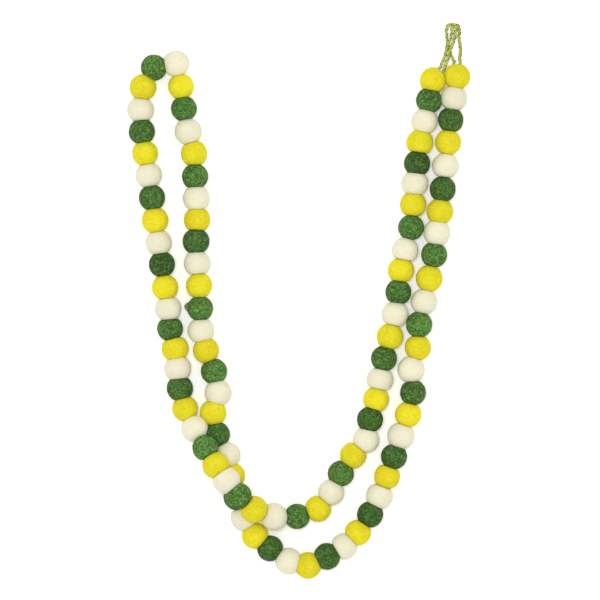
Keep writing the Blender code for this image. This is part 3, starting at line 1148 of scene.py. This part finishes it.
class GARLAND_OT_felt_balls(bpy.types.Operator):
    """Makes the felt balls, each pressed where its neighbours and the table touch it"""

    bl_idname = "garland.felt_balls"
    bl_label = "Felt Balls"

    def execute(self, context):
        settings = context.scene.garland.felt
        felts = {
            name: felt_material(f"{name}_felt", felt_paint(settings, name), settings) for name in COLOUR_ORDER
        }
        radii = ball_radii()
        centres = ball_centres(radii)
        dishes = seam_dishes()
        batches = random.Random(BATCH_SEED)
        group = felt_ball_tree()
        makers = []
        for i in range(BALL_COUNT):
            values = {
                "Centre": tuple(centres[i]),
                "Radius": radii[i] + FELT_FULLNESS[COLOUR_ORDER[i % len(COLOUR_ORDER)]],
                "Swell": settings.swell,
                "Lump": settings.lump,
                "Crease": settings.crease,
                "Rim": settings.rim,
                "Batch": batches.uniform(-1.0, 1.0),
                "Material": felts[COLOUR_ORDER[i % len(COLOUR_ORDER)]],
            }
            for k, (press, dish) in enumerate(ball_presses(i, centres, radii, dishes)):
                values[f"Press {k + 1}"] = tuple(press)
                values[f"Dish {k + 1}"] = dish
            makers.append(maker(f"felt_ball_{i + 1:02d}", group, values))
        for i, mesh in enumerate(plain_meshes(makers)):
            first = i - i % 2
            members = [k for k in (first, first + 1) if k < BALL_COUNT]
            node = "ball_" + "_".join(f"{k + 1:02d}" for k in members)
            piece(f"felt_ball_{i + 1:02d}", mesh, [node])
        return {"FINISHED"}


class GARLAND_OT_felt_nub(bpy.types.Operator):
    """Makes the nub of loose felt on the side of one green ball"""

    bl_idname = "garland.felt_nub"
    bl_label = "Felt Nub"

    def execute(self, context):
        settings = context.scene.garland.felt
        shape = bmesh.new()
        bmesh.ops.create_icosphere(shape, subdivisions=NUB_FINENESS, radius=1.0)
        for vertex in shape.verts:
            way = vertex.co.normalized()
            spot = Vector(way[k] * NUB_HALF[k] for k in range(3))
            lump = noise.noise(spot / NUB_LUMP_WIDTH) * NUB_LUMP
            vertex.co = Vector(NUB_PLACE) + spot * (1.0 + lump)
        bmesh.ops.recalc_face_normals(shape, faces=shape.faces[:])
        mesh = bpy.data.meshes.new("felt_nub")
        shape.to_mesh(mesh)
        shape.free()
        mesh.shade_smooth()
        mesh.materials.append(felt_material("nub_felt", felt_paint(settings, "nub"), settings))
        piece(f"felt_nub_{NUB_BALL}", mesh)
        return {"FINISHED"}


class GARLAND_OT_loose_fibres(bpy.types.Operator):
    """Scatters loose wool over the balls and the loops"""

    bl_idname = "garland.loose_fibres"
    bl_label = "Loose Wool"

    def execute(self, context):
        settings = context.scene.garland
        group = loose_fibre_tree()
        ball_area = 4 * math.pi * BALL_R**2
        for number, colour in enumerate(COLOUR_ORDER):
            tones = felt_paint(settings.felt, colour)
            names = [f"felt_ball_{i + 1:02d}" for i in range(BALL_COUNT) if COLOUR_ORDER[i % 3] == colour]
            if COLOUR_ORDER[(NUB_BALL - 1) % 3] == colour:
                names.append(f"felt_nub_{NUB_BALL}")
            density = settings.fibres.per_ball / ball_area
            self.scatter(colour, names, f"{colour}_felt", tones, density, number + 1, group, settings)
        loops = settings.loops
        tones = {"light": tuple(loops.highlight_and_hair_colour), "main": tuple(loops.main_colour)}
        names = ["hanging_loop_left", "hanging_loop_right"]
        area = sum(face.area for name in names for face in bpy.data.objects[name].data.polygons)
        density = loops.fibres * len(names) / area
        self.scatter("yarn", names, "chartreuse_yarn", tones, density, 9, group, settings)
        return {"FINISHED"}

    def scatter(self, label, names, slot, tones, density, seed, group, settings):
        base = joined_mesh(label, [bpy.data.objects[name].data for name in names])
        values = {
            "Density": density,
            "Length": settings.fibres.length,
            "Thickness": settings.fibres.thickness,
            "Seed": seed,
            "Light": plain_wool_material(f"{label}_light_fibre", tones["light"]),
            "Dark": plain_wool_material(f"{label}_dark_fibre", tones["main"]),
        }
        (mesh,) = plain_meshes([maker(label, group, values, base)])
        piece(f"loose_fibres_{label}", mesh)


class GARLAND_PT_panel(bpy.types.Panel):
    """Lists what makes the garland and its settings"""

    bl_label = "Felt Ball Garland"
    bl_idname = "GARLAND_PT_panel"
    bl_space_type = "VIEW_3D"
    bl_region_type = "UI"
    bl_category = "Garland"

    def draw(self, context):
        settings = context.scene.garland
        rows = (
            (GARLAND_OT_stage, settings.stage),
            (GARLAND_OT_hanging_loops, settings.loops),
            (GARLAND_OT_felt_balls, settings.felt),
            (GARLAND_OT_felt_nub, None),
            (GARLAND_OT_loose_fibres, settings.fibres),
        )
        for operator, group in rows:
            box = self.layout.box()
            box.operator(operator.bl_idname)
            if group is not None:
                for name in group.__annotations__:
                    box.prop(group, name)


CLASSES = (
    GarlandFeltSettings,
    GarlandFibreSettings,
    GarlandLoopSettings,
    GarlandStageSettings,
    GarlandSettings,
    GARLAND_OT_stage,
    GARLAND_OT_hanging_loops,
    GARLAND_OT_felt_balls,
    GARLAND_OT_felt_nub,
    GARLAND_OT_loose_fibres,
    GARLAND_PT_panel,
)


def register():
    for item in CLASSES:
        bpy.utils.register_class(item)
    bpy.types.Scene.garland = bpy.props.PointerProperty(type=GarlandSettings)


def unregister():
    del bpy.types.Scene.garland
    for item in reversed(CLASSES):
        bpy.utils.unregister_class(item)


def main():
    register()
    bpy.ops.garland.stage()
    bpy.ops.garland.hanging_loops()
    bpy.ops.garland.felt_balls()
    bpy.ops.garland.felt_nub()
    bpy.ops.garland.loose_fibres()


if __name__ == "__main__":
    main()
